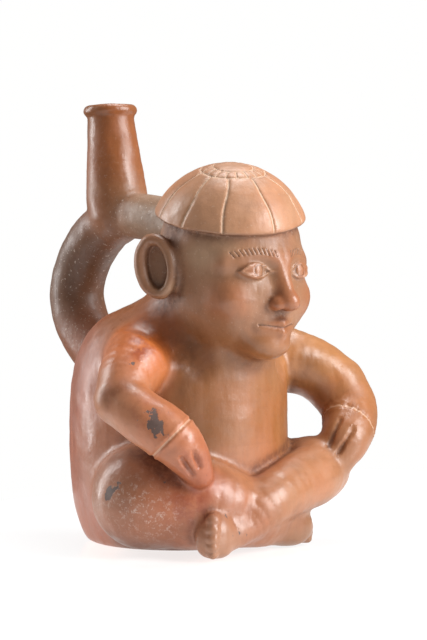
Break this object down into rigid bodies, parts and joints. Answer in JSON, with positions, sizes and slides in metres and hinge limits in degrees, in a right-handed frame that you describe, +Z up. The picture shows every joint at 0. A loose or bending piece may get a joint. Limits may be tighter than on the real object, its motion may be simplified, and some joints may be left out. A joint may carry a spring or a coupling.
{
  "type": "stirrup spout vessel",
  "caption": "Hollow ceramic figure vessel, seated and cross-legged in a round cap, with a curved stirrup tube from back to head and one upright spout.",
  "frame": {"origin": "middle of the flat underside, below the centre of the body", "axes": "+Z up along the spout, -Y the way the figure faces, +X towards the figure's own left"},
  "size_m": [0.1755, 0.1867, 0.2314],
  "materials": {
    "clay": "burnished orange-tan slip, satin, worn"
  },
  "bodies": {
    "root": {"vessel": "clay"}
  },
  "joints": []
}
